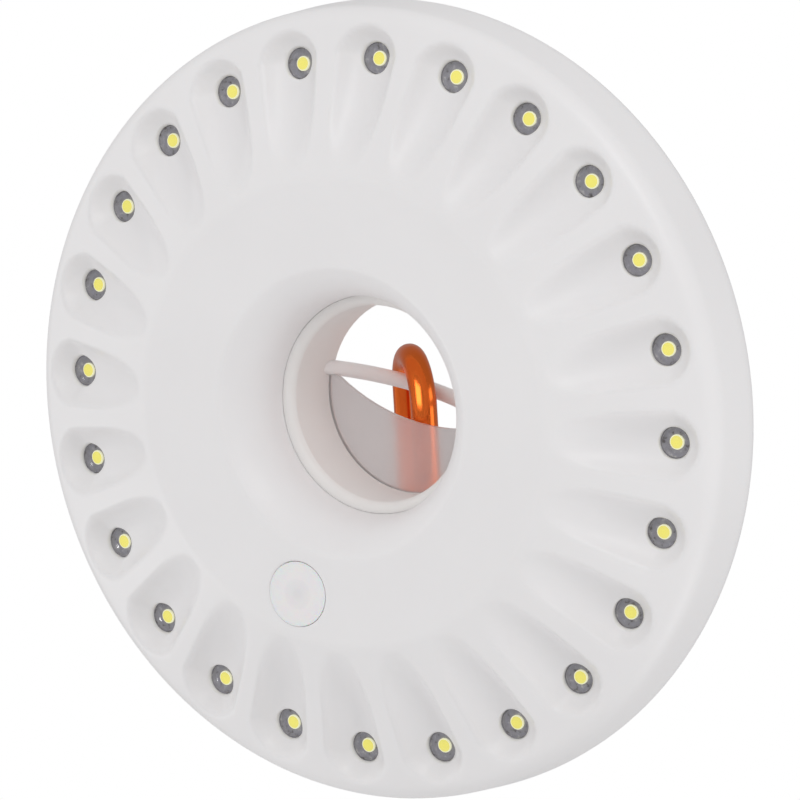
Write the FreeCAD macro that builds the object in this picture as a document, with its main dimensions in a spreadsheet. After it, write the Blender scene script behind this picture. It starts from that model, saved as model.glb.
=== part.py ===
import FreeCAD, Part
import math
import os
import Sketcher
from FreeCAD import Placement, Rotation, Vector

# Hanging camping light: a white ring-shaped casing with 24 lamps in finger
# grooves round its front, a push button, two battery wells at the back, and a
# snap hook on an arched bar across the centre hole.
# The lamp's axis is Y and the front looks along -Y. The origin is on the axis,
# in the flat plane of the back. Lengths are in millimetres, angles in degrees.

SIZES = {
    # casing
    "body_radius": 63.2,        # widest outer radius
    "body_depth": 22.2,         # back plane to the flat ring in front
    "wall": 1.5,                # front cover
    "back_wall": 1.5,           # back cover
    "plateau_radius": 36.9,     # outer edge of the flat ring
    "mouth_radius": 23.3,       # inner edge of the flat ring
    "mouth_round": 1.5,
    "mouth_slope": 55.0,        # funnel's wall at its mouth, from the lamp's axis
    "funnel_depth": 11.8,       # back plane to the funnel's narrow end
    "funnel_curve": 12.0,
    "shoulder_width": 4.4,      # widest radius to the outer edge of the sloping ring
    "cone_drop": 7.0,
    "shoulder_drop": 4.2,
    "shoulder_round": 4.4,
    "side_draft": 0.9,
    "edge_round": 5.0,
    "part_line": 2.0,           # joint between the covers, from the back plane
    "seam": 0.15,               # gap where one cover slips into the other
    "sleeve_bore": 15.6,
    "sleeve_wall": 1.7,
    "lip_drop": 1.3,
    "lip_round": 1.6,
    "rib_width": 1.4,
    # lamps and their grooves
    "led_count": 24,
    "led_inset": 8.5,           # widest radius to the ring of lamps
    "led_sink": 9.1,            # flat ring in front to the groove's floor at a lamp
    "led_tilt": 10.0,
    "led_radius": 2.45,
    "led_clearance": 0.12,
    "led_recess": 1.0,
    "led_dome": 0.8,
    "led_length": 4.2,
    "led_flange_radius": 2.8,
    "led_flange": 1.0,
    "led_pocket_radius": 1.85,
    "led_pocket": 3.0,
    "die_radius": 1.12,
    "die_height": 0.7,
    "anvil_radius": 1.5,
    "anvil_height": 0.7,
    "lead_width": 0.5,
    "lead_pitch": 2.54,
    "lead_tail": 0.7,
    "scoop_radius": 6.2,
    "scoop_tilt": 13.0,
    "scoop_taper": 44.0,
    # lamp board
    "board_thickness": 1.2,
    "board_drop": 8.3,          # groove's floor at a lamp to the lamp board's rear face
    "board_edge": 3.0,          # widest radius to the lamp board's edge
    "board_width": 9.2,
    "lead_hole": 1.2,
    "resistor_count": 8,
    "resistor_length": 3.2,
    "resistor_width": 1.6,
    "resistor_height": 0.6,
    # button and switch
    "button_ring": 30.4,
    "button_angle": -103.9,
    "button_radius": 5.15,
    "button_clearance": 0.15,
    "button_sink": 0.05,
    "button_flange_radius": 6.2,
    "button_flange": 0.8,
    "button_travel": 1.0,
    "stem_radius": 2.2,
    "stem_length": 2.5,
    "plunger_radius": 1.6,
    "plunger_out": 1.5,
    "plunger_in": 1.6,
    "plunger_clearance": 0.1,
    "switch_width": 8.0,
    "switch_height": 6.0,
    "panel_thickness": 1.2,
    "panel_half_width": 11.5,
    "panel_above": 3.2,
    "panel_below": 7.0,
    "panel_post_reach": 8.7,
    "panel_post_drop": 2.0,
    "panel_post_radius": 2.4,
    # screws
    "screw_ring": 44.0,
    "screw_count": 4,
    "screw_angle": 45.0,
    "screw_post_radius": 3.0,
    "screw_boss_radius": 3.4,
    "screw_boss": 2.8,
    "screw_head_radius": 2.4,
    "screw_head": 1.2,
    "screw_sink": 0.1,
    "screw_radius": 1.25,
    "screw_length": 10.0,
    "screw_clearance": 0.05,
    "small_head_radius": 1.8,
    "small_head": 1.0,
    "small_screw_radius": 0.8,
    "small_screw_length": 6.0,
    # batteries, two wells of two cells
    "cell_radius": 5.25,
    "cell_length": 44.5,
    "nub_radius": 1.9,
    "nub_length": 1.2,
    "cell_play": 0.15,
    "spring_room": 3.5,
    "contact_thickness": 0.4,
    "contact_ridge": 0.8,       # raised rib that meets a nub
    "contact_width": 8.4,
    "contact_top": 4.6,
    "contact_height": 5.6,
    "leaf_thickness": 0.35,
    "leaf_foot": 3.4,
    "well_wall": 1.0,
    "well_gap": 2.0,            # sleeve to well
    "well_bevel": 3.5,
    "door_thickness": 1.2,
    "door_clearance": 0.2,
    "door_ledge": 0.7,
    "door_float": 0.05,
    "flange_width": 1.2,
    "flange_depth": 2.8,
    "tongue_width": 5.0,
    "tongue_reach": 2.0,
    "tongue_root": 0.9,
    "tongue_thickness": 0.9,
    "tongue_spread": 6.0,
    "tongue_clearance": 0.3,
    "tongue_swing": 4.0,
    "grip_length": 12.0,
    "grip_width": 1.0,
    "grip_depth": 0.4,
    "grip_pitch": 2.6,
    "notch_radius": 5.0,
    "notch_reach": 1.9,          # from the door's edge, clear of the screw's sink
    "notch_depth": 0.9,
    # bar and half-moon wall across the centre hole
    "back_turn": -11.4,
    "bar_radius": 1.22,
    "bar_height": -0.1,
    "bar_root": 2.1,            # back plane to the bar's ends
    "bar_reach": 16.6,          # bar's half span
    "bar_apex": 5.9,            # bar's middle behind the back plane
    "bar_fit": 0.03,
    "moon_thickness": 0.8,
    "moon_sink": 0.4,           # its back face, below the back plane
    "moon_low": 4.0,
    "moon_curve": 33.7,
    "moon_root": 0.8,
    # snap hook
    "hook_along": -3.75,        # place along the bar
    "hook_twist": -42.0,
    "hook_tilt": 11.0,
    "hook_rod": 2.1,
    "hook_bow": 6.15,
    "hook_hang": 1.85,
    "hook_leg": 32.0,
    "gate_top": 6.0,
    "gate_bottom": 5.0,
    "gate_radius": 1.95,
    "gate_gap": 0.3,
    "gate_slot": 2.2,
    "gate_tongue": 1.8,
    "gate_pin_radius": 0.6,
    "gate_pin_fit": 0.06,
    "gate_bore": 1.1,
    "gate_spring_length": 9.0,
    "gate_spring_fit": 0.1,
    # wires
    "wire_radius": 0.6,
    "wire_clearance": 0.1,
    "wire_gap": 0.05,           # wire to the board that it is soldered on
    "wire_bend": 2.0,
    "wire_inset": 3.1,          # from the inner cell's axis towards the lamp's axis
    "wire_step": 0.5,           # from a well's end to a wire's bend
    "wire_pair": 7.5,           # angle from a lamp to a wire between two lamps
}


class Size:
    """A length or angle: its value, and the sheet formula that it follows."""

    def __init__(self, value, formula):
        self.value = float(value)
        self.formula = formula

    def __add__(self, other):
        other = size_of(other)
        return Size(self.value + other.value, f"({self.formula} + {other.formula})")

    def __sub__(self, other):
        other = size_of(other)
        return Size(self.value - other.value, f"({self.formula} - {other.formula})")

    def __mul__(self, other):
        other = size_of(other)
        return Size(self.value * other.value, f"({self.formula} * {other.formula})")

    def __truediv__(self, other):
        other = size_of(other)
        return Size(self.value / other.value, f"({self.formula} / {other.formula})")

    def __neg__(self):
        return Size(-self.value, f"(0 - {self.formula})")

    def __radd__(self, other):
        return size_of(other) + self

    def __rsub__(self, other):
        return size_of(other) - self

    def __rmul__(self, other):
        return size_of(other) * self


def size_of(number):
    if isinstance(number, Size):
        return number
    return Size(number, f"{number:.6f}")


def root(number):
    return Size(math.sqrt(number.value), f"sqrt({number.formula})")


def sine(angle):
    return Size(math.sin(math.radians(angle.value)), f"sin({angle.formula})")


def cosine(angle):
    return Size(math.cos(math.radians(angle.value)), f"cos({angle.formula})")


def arcsine(number):
    return Size(math.degrees(math.asin(number.value)), f"asin({number.formula})")


class Names:
    """Holds each size of the sheet under its own name."""


doc = FreeCAD.newDocument("camping_light")
sheet = doc.addObject("Spreadsheet::Sheet", "dims")
D = Names()
for row, (name, value) in enumerate(SIZES.items(), 1):
    sheet.set(f"A{row}", name)
    sheet.set(f"B{row}", str(value))
    sheet.setAlias(f"B{row}", name)
    setattr(D, name, Size(value, f"dims.{name}"))
doc.recompute()

ZERO = size_of(0)
QUARTER_TURN = size_of(90)
SIDES = (-1, 1)
CUT_OVER = size_of(1.0)


# Helpers for bodies, sketches and features

def new_body(label):
    body = doc.addObject("PartDesign::Body", label)
    body.Label = label
    body.AllowCompound = True
    return body


def origin_feature(body, role):
    for feature in body.Origin.OriginFeatures:
        if feature.Role == role:
            return feature
    raise ValueError(role)


def new_sketch(body, name, role, shift=(ZERO, ZERO, ZERO), axis=Vector(0, 0, 1), angle=None):
    """A sketch on an origin plane, shifted and turned in the plane's own frame."""
    sketch = body.newObject("Sketcher::SketchObject", name)
    sketch.AttachmentSupport = [(origin_feature(body, role), "")]
    sketch.MapMode = "FlatFace"
    base = Vector(shift[0].value, shift[1].value, shift[2].value)
    turn = Rotation(axis, angle.value) if angle else Rotation()
    sketch.AttachmentOffset = Placement(base, turn)
    for letter, size in zip("xyz", shift):
        if size is not ZERO:
            sketch.setExpression(f"AttachmentOffset.Base.{letter}", size.formula)
    if angle:
        sketch.setExpression("AttachmentOffset.Rotation.Angle", angle.formula)
    return sketch


def bind(sketch, constraint, size):
    index = sketch.addConstraint(constraint)
    sketch.setExpression(f"Constraints[{index}]", size.formula)


def pin_vertex(sketch, geometry, end, x, y):
    bind(sketch, Sketcher.Constraint("DistanceX", geometry, end, x.value), x)
    bind(sketch, Sketcher.Constraint("DistanceY", geometry, end, y.value), y)


def add_arc(sketch, start, stop, radius):
    """Arc from start to stop; its centre is on the left, or on the right if radius is below 0."""
    chord = stop - start
    side = 1 if radius.value > 0 else -1
    length = abs(radius.value)
    reach = math.sqrt(max(length ** 2 - (chord.Length / 2) ** 2, 0))
    left = Vector(-chord.y, chord.x, 0).normalize()
    centre = (start + stop) * 0.5 + left * reach * side
    first, last = (start, stop) if side > 0 else (stop, start)
    begin = math.atan2(first.y - centre.y, first.x - centre.x)
    finish = math.atan2(last.y - centre.y, last.x - centre.x)
    if finish < begin:
        finish += 2 * math.pi
    circle = Part.Circle(centre, Vector(0, 0, 1), length)
    geometry = sketch.addGeometry(Part.ArcOfCircle(circle, begin, finish), False)
    bind(sketch, Sketcher.Constraint("Radius", geometry, length), radius * side)
    return (geometry, 1, 2) if side > 0 else (geometry, 2, 1)


def draw(sketch, corners, closed=True):
    """Lines and arcs through the corners; a third value is the radius of the arc to the next corner."""
    corners = [[size_of(value) for value in corner] for corner in corners]
    points = [Vector(corner[0].value, corner[1].value, 0) for corner in corners]
    count = len(corners) if closed else len(corners) - 1
    pieces = []
    for index in range(count):
        start = points[index]
        stop = points[(index + 1) % len(points)]
        if len(corners[index]) == 3:
            pieces.append(add_arc(sketch, start, stop, corners[index][2]))
        else:
            line = sketch.addGeometry(Part.LineSegment(start, stop), False)
            pieces.append((line, 1, 2))
    for index, (geometry, begin, finish) in enumerate(pieces):
        pin_vertex(sketch, geometry, begin, corners[index][0], corners[index][1])
        if closed or index + 1 < count:
            following = pieces[(index + 1) % count]
            meet = Sketcher.Constraint("Coincident", geometry, finish, following[0], following[1])
            sketch.addConstraint(meet)
        else:
            pin_vertex(sketch, geometry, finish, corners[-1][0], corners[-1][1])


def draw_box(sketch, left, right, low, high):
    draw(sketch, [(left, low), (right, low), (right, high), (left, high)])


def draw_circle(sketch, x, y, radius):
    x, y, radius = size_of(x), size_of(y), size_of(radius)
    circle = Part.Circle(Vector(x.value, y.value, 0), Vector(0, 0, 1), radius.value)
    geometry = sketch.addGeometry(circle, False)
    bind(sketch, Sketcher.Constraint("Radius", geometry, radius.value), radius)
    pin_vertex(sketch, geometry, 3, x, y)


def feature(body, kind, name, sketch):
    made = body.newObject("PartDesign::" + kind, name)
    made.Profile = sketch
    return made


def turn(body, kind, name, sketch, axis="V_Axis"):
    """Revolution or Groove, right round an axis of the sketch."""
    made = feature(body, kind, name, sketch)
    made.ReferenceAxis = (sketch, [axis])
    made.Angle = 360
    return made


def extrude(body, kind, name, sketch, length, reverse=False, both=False):
    made = feature(body, kind, name, sketch)
    made.Length = length.value
    made.setExpression("Length", length.formula)
    made.Reversed = reverse
    made.Midplane = both
    return made


def spread(body, name, features, count):
    """Copies of the features evenly round the lamp's axis."""
    pattern = body.newObject("PartDesign::PolarPattern", name)
    pattern.Originals = features
    pattern.Axis = (origin_feature(body, "Y_Axis"), [""])
    pattern.Angle = 360
    pattern.Occurrences = int(count.value)
    pattern.setExpression("Occurrences", count.formula)
    body.Tip = pattern
    return pattern


def disc_sketch(body, name, behind, angle=None):
    """A sketch facing forward, a distance in front of the back plane."""
    return new_sketch(body, name, "XZ_Plane", (ZERO, ZERO, behind), Vector(0, 0, 1), angle)


# Derived places

FRONT = -D.body_depth
CONE_RADIUS = D.body_radius - D.shoulder_width
LED_RING = D.body_radius - D.led_inset
LED_FLOOR = D.body_depth - D.led_sink
BOARD_BACK = LED_FLOOR - D.board_drop
BOARD_OUTER = D.body_radius - D.board_edge
BOARD_INNER = BOARD_OUTER - D.board_width
SLEEVE_OUT = D.sleeve_bore + D.sleeve_wall
FUNNEL_END = SLEEVE_OUT + D.seam
CONE_END = FRONT + D.cone_drop
SHOULDER_END = CONE_END + D.shoulder_drop
EDGE_CENTRE = D.body_radius - D.edge_round
RIM = EDGE_CENTRE + root(D.edge_round * D.edge_round
                         - (D.edge_round - D.part_line) * (D.edge_round - D.part_line))
MOUTH_START = D.mouth_radius - D.mouth_round * cosine(D.mouth_slope)
MOUTH_DROP = D.mouth_round - D.mouth_round * sine(D.mouth_slope)

SCOOP_SHIFT = (LED_RING + D.scoop_radius * sine(D.scoop_tilt),
               -LED_FLOOR - D.scoop_radius * cosine(D.scoop_tilt), ZERO)
LED_TURN = D.led_tilt - QUARTER_TURN

BUTTON_X = D.button_ring * cosine(D.button_angle)
BUTTON_Z = D.button_ring * sine(D.button_angle)
CAP_BACK = D.body_depth - D.wall - D.button_clearance
STEM_END = CAP_BACK - D.button_flange - D.stem_length
PLUNGER_TIP = STEM_END - D.seam
SWITCH_FRONT = PLUNGER_TIP - D.plunger_out
SWITCH_BACK = SWITCH_FRONT - D.switch_height
POST_Z = BUTTON_Z - D.panel_post_drop

WELL_START = SLEEVE_OUT + D.well_gap
WELL_IN = WELL_START + D.well_wall
WELL_WIDTH = 4 * D.cell_radius + 3 * D.cell_play
WELL_OUT = WELL_IN + WELL_WIDTH
WELL_END = WELL_OUT + D.well_wall
WELL_MIDDLE = WELL_IN + WELL_WIDTH / 2
PLATE_FACE = (D.cell_length + D.spring_room + D.contact_ridge) / 2
WELL_HALF = PLATE_FACE + D.contact_thickness
CELL_BACK = D.door_thickness + D.door_float + D.door_clearance
CELL_AXIS = CELL_BACK + D.cell_radius
WELL_FLOOR = CELL_AXIS + D.cell_radius + D.door_clearance
WELL_FRONT = WELL_FLOOR + D.well_wall
CELL_X = (WELL_IN + D.cell_play + D.cell_radius, WELL_OUT - D.cell_play - D.cell_radius)
DOOR_HALF = WELL_HALF + D.door_ledge
DOOR_START = WELL_IN - D.door_ledge
DOOR_END = WELL_OUT + D.door_ledge
DOOR_AXIS_Z = DOOR_HALF + D.door_clearance / 2

WIRE_X = CELL_X[0] - D.wire_inset
SWITCH_WIRE = SWITCH_BACK - D.panel_thickness - D.wire_radius - D.wire_gap
LAMP_WIRE = BOARD_BACK + D.board_thickness + D.wire_radius + D.wire_gap
WIRE_START = WELL_HALF + D.wire_gap
WIRE_BEND_Z = WELL_HALF + D.well_wall + D.wire_step


def groove_profile(sketch, radius, taper):
    """Half outline of a finger groove's cutter: a long taper, then a round nose over the lamp."""
    tip = root(taper * taper - (taper - radius) * (taper - radius))
    draw(sketch, [(-tip, 0), (radius, 0, radius), (0, radius, taper)])


def groove_cut(body, name, radius, taper):
    sketch = new_sketch(body, name + "_outline", "XY_Plane", SCOOP_SHIFT, Vector(0, 0, 1), D.scoop_tilt)
    groove_profile(sketch, radius, taper)
    return turn(body, "Groove", name, sketch, "H_Axis")


def led_sketch(body, name, sideways=ZERO):
    """A sketch in a lamp's own frame: x forward along its axis, 0 at the groove's floor."""
    shift = (LED_RING, -LED_FLOOR, sideways)
    return new_sketch(body, name, "XY_Plane", shift, Vector(0, 0, 1), LED_TURN)


def screw_sketch(body, name, behind, radius):
    sketch = disc_sketch(body, name, behind)
    x = D.screw_ring * cosine(D.screw_angle)
    z = D.screw_ring * sine(D.screw_angle)
    draw_circle(sketch, x, z, radius)
    return sketch


def post_sketch(body, name, behind, radius):
    sketch = disc_sketch(body, name, behind)
    for side in SIDES:
        draw_circle(sketch, BUTTON_X + side * D.panel_post_reach, POST_Z, radius)
    return sketch


# Front cover

def front_hollow():
    """The space inside the front cover, less the grooves' backs and the posts."""
    body = new_body("front_hollow")
    collar_back = -D.funnel_depth + D.wall
    behind = -D.part_line + CUT_OVER
    sketch = new_sketch(body, "hollow_outline", "XY_Plane")
    draw(sketch, [
        (FUNNEL_END - CUT_OVER, collar_back),
        (FUNNEL_END + D.wall, collar_back),
        (FUNNEL_END + D.wall, -D.funnel_depth, D.funnel_curve - D.wall),
        (D.mouth_radius, FRONT + D.wall),
        (D.plateau_radius, FRONT + D.wall),
        (CONE_RADIUS - D.wall * 0.3, CONE_END + D.wall),
        (D.body_radius - D.side_draft - D.wall, SHOULDER_END),
        (D.body_radius - D.wall, -D.edge_round),
        (RIM - D.wall, -D.part_line),
        (RIM - D.wall, behind),
        (FUNNEL_END - CUT_OVER, behind),
    ])
    turn(body, "Revolution", "hollow", sketch)
    backs = groove_cut(body, "groove_back", D.scoop_radius + D.wall, D.scoop_taper + D.wall)
    spread(body, "groove_backs", [backs], D.led_count)
    post = extrude(body, "Pocket", "screw_post",
                   screw_sketch(body, "screw_post_outline", D.screw_boss + D.seam, D.screw_post_radius),
                   D.body_depth, reverse=True)
    spread(body, "screw_posts", [post], D.screw_count)
    extrude(body, "Pocket", "panel_posts",
            post_sketch(body, "panel_post_outline", SWITCH_BACK, D.panel_post_radius),
            D.body_depth, reverse=True)
    return body


def front_cover():
    body = new_body("front_cover")
    sketch = new_sketch(body, "cover_outline", "XY_Plane")
    draw(sketch, [
        (FUNNEL_END, -D.part_line),
        (FUNNEL_END, -D.funnel_depth, D.funnel_curve),
        (MOUTH_START, FRONT + MOUTH_DROP, D.mouth_round),
        (D.mouth_radius, FRONT),
        (D.plateau_radius, FRONT),
        (CONE_RADIUS, CONE_END, D.shoulder_round),
        (D.body_radius - D.side_draft, SHOULDER_END),
        (D.body_radius, -D.edge_round, D.edge_round),
        (RIM, -D.part_line),
    ])
    turn(body, "Revolution", "casing", sketch)
    groove = groove_cut(body, "finger_groove", D.scoop_radius, D.scoop_taper)
    spread(body, "finger_grooves", [groove], D.led_count)
    doc.recompute()

    hollow = body.newObject("PartDesign::Boolean", "hollow_cut")
    hollow.setObjects([front_hollow()])
    hollow.Type = "Cut"
    doc.recompute()

    sketch = led_sketch(body, "led_hole_outline")
    draw_box(sketch, -D.led_length - D.led_flange, D.scoop_radius, ZERO, D.led_radius + D.led_clearance)
    hole = turn(body, "Groove", "led_hole", sketch, "H_Axis")
    spread(body, "led_holes", [hole], D.led_count)

    sketch = disc_sketch(body, "button_hole_outline", D.body_depth + CUT_OVER)
    draw_circle(sketch, BUTTON_X, BUTTON_Z, D.button_radius + D.button_clearance)
    extrude(body, "Pocket", "button_hole", sketch, D.wall + 2 * CUT_OVER)
    sketch = disc_sketch(body, "button_seat_outline", D.body_depth - D.wall)
    draw_circle(sketch, BUTTON_X, BUTTON_Z, D.button_flange_radius + D.button_clearance)
    extrude(body, "Pocket", "button_seat", sketch, D.button_flange + D.button_travel + 2 * D.button_clearance)

    bore = D.screw_radius + D.screw_clearance
    sketch = screw_sketch(body, "pilot_outline", D.screw_boss, bore)
    pilot = extrude(body, "Pocket", "pilot_hole", sketch, D.screw_length, reverse=True)
    spread(body, "pilot_holes", [pilot], D.screw_count)
    bore = D.small_screw_radius + D.screw_clearance
    sketch = post_sketch(body, "panel_pilot_outline", SWITCH_BACK - CUT_OVER, bore)
    extrude(body, "Pocket", "panel_pilots", sketch, D.small_screw_length + CUT_OVER, reverse=True)
    return body


# Back cover with the sleeve, the half-moon wall and the battery wells

def well_section(sketch, side, inset):
    """Section of a battery well across the cells, its two front edges bevelled."""
    start = WELL_START + inset
    end = WELL_END - inset
    front = -(WELL_FRONT - inset)
    bevel = D.well_bevel - inset * (2 - math.sqrt(2))
    corners = [
        (start, CUT_OVER if inset.value else ZERO),
        (start, front + bevel),
        (start + bevel, front),
        (end - bevel, front),
        (end, front + bevel),
        (end, CUT_OVER if inset.value else ZERO),
    ]
    draw(sketch, [(side * x, y) for x, y in corners])


def moon_outline(sketch):
    """Half-moon wall below the bar: a hollow upper edge, and the sleeve's round below."""
    reach = D.sleeve_bore + D.moon_root
    centre = D.moon_curve - D.moon_low
    z = (centre * centre - D.moon_curve * D.moon_curve + reach * reach) / (2 * centre)
    x = root(reach * reach - z * z)
    draw(sketch, [(-x, z, reach), (0, -reach, reach), (x, z, -D.moon_curve)])


def bar_sweep(body, kind, name, radius, turned):
    """The arched bar as part of a ring, or the socket for it."""
    rise = D.bar_apex + D.bar_root
    curve = (D.bar_reach * D.bar_reach + rise * rise) / (2 * rise)
    shift = (D.bar_apex - curve, ZERO, ZERO)
    if turned:
        sketch = new_sketch(body, name + "_outline", "YZ_Plane", shift, Vector(-1, 0, 0), D.back_turn)
    else:
        sketch = new_sketch(body, name + "_outline", "YZ_Plane", shift)
    draw_circle(sketch, curve, D.bar_height, radius)
    made = turn(body, kind, name, sketch)
    angle = 2 * arcsine(D.bar_reach / curve)
    made.Angle = angle.value
    made.setExpression("Angle", angle.formula)
    made.Midplane = True
    return made


def back_cover():
    body = new_body("back_cover")
    rib_out = RIM - D.wall - D.seam
    rib_front = -(BOARD_BACK - D.door_float)
    sketch = new_sketch(body, "back_outline", "XY_Plane")
    draw(sketch, [
        (D.sleeve_bore, 0),
        (D.sleeve_bore, -D.funnel_depth + D.lip_drop, D.lip_round),
        (SLEEVE_OUT, -D.funnel_depth),
        (SLEEVE_OUT, -D.back_wall),
        (rib_out - D.rib_width, -D.back_wall),
        (rib_out - D.rib_width, rib_front),
        (rib_out, rib_front),
        (rib_out, -D.part_line),
        (RIM, -D.part_line, D.edge_round),
        (EDGE_CENTRE, 0),
    ])
    turn(body, "Revolution", "back_plate", sketch)

    for side, word in zip(SIDES, ("left", "right")):
        sketch = new_sketch(body, word + "_well_outline", "XY_Plane")
        well_section(sketch, side, ZERO)
        extrude(body, "Pad", word + "_well", sketch, 2 * (WELL_HALF + D.well_wall), both=True)

    sketch = disc_sketch(body, "flange_outline", ZERO)
    edge = D.door_clearance + D.flange_width
    for side in SIDES:
        near = side * (DOOR_START - edge)
        far = side * (DOOR_END + edge)
        left, right = (near, far) if side > 0 else (far, near)
        draw_box(sketch, left, right, -DOOR_HALF - edge, DOOR_HALF + edge)
    extrude(body, "Pad", "flanges", sketch, D.flange_depth)

    boss = extrude(body, "Pad", "screw_boss",
                   screw_sketch(body, "screw_boss_outline", D.back_wall, D.screw_boss_radius),
                   D.screw_boss - D.back_wall)
    spread(body, "screw_bosses", [boss], D.screw_count)

    for side, word in zip(SIDES, ("left", "right")):
        sketch = new_sketch(body, word + "_room_outline", "XY_Plane")
        well_section(sketch, side, D.well_wall)
        extrude(body, "Pocket", word + "_room", sketch, 2 * WELL_HALF, both=True)

    recess = D.door_thickness + D.door_float
    sketch = disc_sketch(body, "door_recess_outline", recess)
    for side in SIDES:
        near = side * (DOOR_START - D.door_clearance)
        far = side * (DOOR_END + D.door_clearance)
        left, right = (near, far) if side > 0 else (far, near)
        draw_box(sketch, left, right, -DOOR_HALF - D.door_clearance, DOOR_HALF + D.door_clearance)
    extrude(body, "Pocket", "door_recess", sketch, recess + CUT_OVER)

    sketch = disc_sketch(body, "tongue_slot_outline", D.tongue_swing)
    half = D.tongue_width / 2 + D.tongue_clearance
    for side in SIDES:
        for step in SIDES:
            middle = side * WELL_MIDDLE + step * D.tongue_spread
            draw_box(sketch, middle - half, middle + half, WELL_HALF - D.tongue_clearance,
                     DOOR_AXIS_Z + D.tongue_reach + D.tongue_clearance)
    extrude(body, "Pocket", "tongue_slots", sketch, D.tongue_swing - D.back_wall)
    sketch = disc_sketch(body, "tongue_mouth_outline", D.tongue_swing)
    for side in SIDES:
        for step in SIDES:
            middle = side * WELL_MIDDLE + step * D.tongue_spread
            draw_box(sketch, middle - half, middle + half, WELL_HALF - D.tongue_clearance,
                     DOOR_HALF + D.door_clearance)
    extrude(body, "Pocket", "tongue_mouths", sketch, D.tongue_swing)

    sketch = disc_sketch(body, "finger_notch_outline", D.notch_depth)
    for side in SIDES:
        draw_circle(sketch, side * WELL_MIDDLE, D.notch_radius - D.notch_reach - DOOR_HALF, D.notch_radius)
    extrude(body, "Pocket", "finger_notches", sketch, D.notch_depth + CUT_OVER)

    bore = D.screw_radius + 4 * D.screw_clearance
    hole = extrude(body, "Pocket", "screw_hole",
                   screw_sketch(body, "screw_hole_outline", D.screw_boss + CUT_OVER, bore),
                   D.screw_boss + 2 * CUT_OVER)
    sink = extrude(body, "Pocket", "screw_sink",
                   screw_sketch(body, "screw_sink_outline", D.screw_head + D.screw_sink,
                                D.screw_head_radius + 4 * D.screw_clearance),
                   D.screw_head + D.screw_sink + CUT_OVER)
    spread(body, "screw_holes", [hole, sink], D.screw_count)

    wire_spots = (
        (-1, SWITCH_WIRE, "lower"),
        (1, LAMP_WIRE, "lower"),
        (-1, SWITCH_WIRE, "upper"),
        (1, SWITCH_WIRE, "upper"),
    )
    for number, (side, depth, end) in enumerate(wire_spots, 1):
        level = WELL_HALF - D.wire_gap
        shift = (ZERO, ZERO, level if end == "upper" else -level)
        sketch = new_sketch(body, f"wire_hole_{number}_outline", "XY_Plane", shift)
        draw_circle(sketch, side * WIRE_X, -depth, D.wire_radius + D.wire_clearance)
        extrude(body, "Pocket", f"wire_hole_{number}", sketch, D.well_wall + CUT_OVER, reverse=end == "upper")

    sketch = disc_sketch(body, "moon_outline", D.moon_sink, D.back_turn)
    moon_outline(sketch)
    extrude(body, "Pad", "half_moon_wall", sketch, D.moon_thickness)
    bar_sweep(body, "Groove", "bar_socket", D.bar_radius + D.bar_fit, True)
    return body


def hanger_bar():
    body = new_body("hanger_bar")
    bar_sweep(body, "Revolution", "bar", D.bar_radius, False)
    body.Placement = Placement(Vector(), Rotation(Vector(0, -1, 0), D.back_turn.value))
    return body


# Lamps

def led_lenses():
    body = new_body("led_lenses")
    back = -(D.led_recess + D.led_length)
    rim = -D.led_recess
    pocket = back + D.led_pocket
    curve = (D.led_radius * D.led_radius + D.led_dome * D.led_dome) / (2 * D.led_dome)
    sketch = led_sketch(body, "lens_outline")
    draw(sketch, [
        (back, D.led_pocket_radius),
        (pocket, D.led_pocket_radius),
        (pocket, 0),
        (rim + D.led_dome, 0, curve),
        (rim, D.led_radius),
        (back + D.led_flange, D.led_radius),
        (back + D.led_flange, D.led_flange_radius),
        (back, D.led_flange_radius),
    ])
    lens = turn(body, "Revolution", "lens", sketch, "H_Axis")
    spread(body, "lenses", [lens], D.led_count)
    return body


POCKET_END = D.led_recess + D.led_length - D.led_pocket
DIE_FRONT = POCKET_END + D.seam
DIE_BACK = DIE_FRONT + D.die_height
ANVIL_BACK = DIE_BACK + D.anvil_height


def led_dies():
    body = new_body("led_dies")
    sketch = led_sketch(body, "die_outline")
    draw_box(sketch, -DIE_BACK, -DIE_FRONT, ZERO, D.die_radius)
    die = turn(body, "Revolution", "die", sketch, "H_Axis")
    spread(body, "dies", [die], D.led_count)
    return body


def led_leads():
    """Two legs a lamp; one carries the anvil that the die sits on."""
    body = new_body("led_leads")
    sketch = led_sketch(body, "anvil_outline")
    draw_box(sketch, -ANVIL_BACK, -DIE_BACK, ZERO, D.anvil_radius)
    anvil = turn(body, "Revolution", "anvil", sketch, "H_Axis")
    tail = (LED_FLOOR - BOARD_BACK + D.lead_tail) / cosine(D.led_tilt)
    tops = (DIE_BACK + D.anvil_height / 2, ANVIL_BACK + 2 * D.seam)
    legs = []
    for side, top, word in zip(SIDES, tops, ("near_leg", "far_leg")):
        sketch = led_sketch(body, word + "_outline", side * D.lead_pitch / 2)
        draw_box(sketch, -tail, -top, -D.lead_width / 2, D.lead_width / 2)
        legs.append(extrude(body, "Pad", word, sketch, D.lead_width, both=True))
    spread(body, "leads", [anvil] + legs, D.led_count)
    return body


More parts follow.
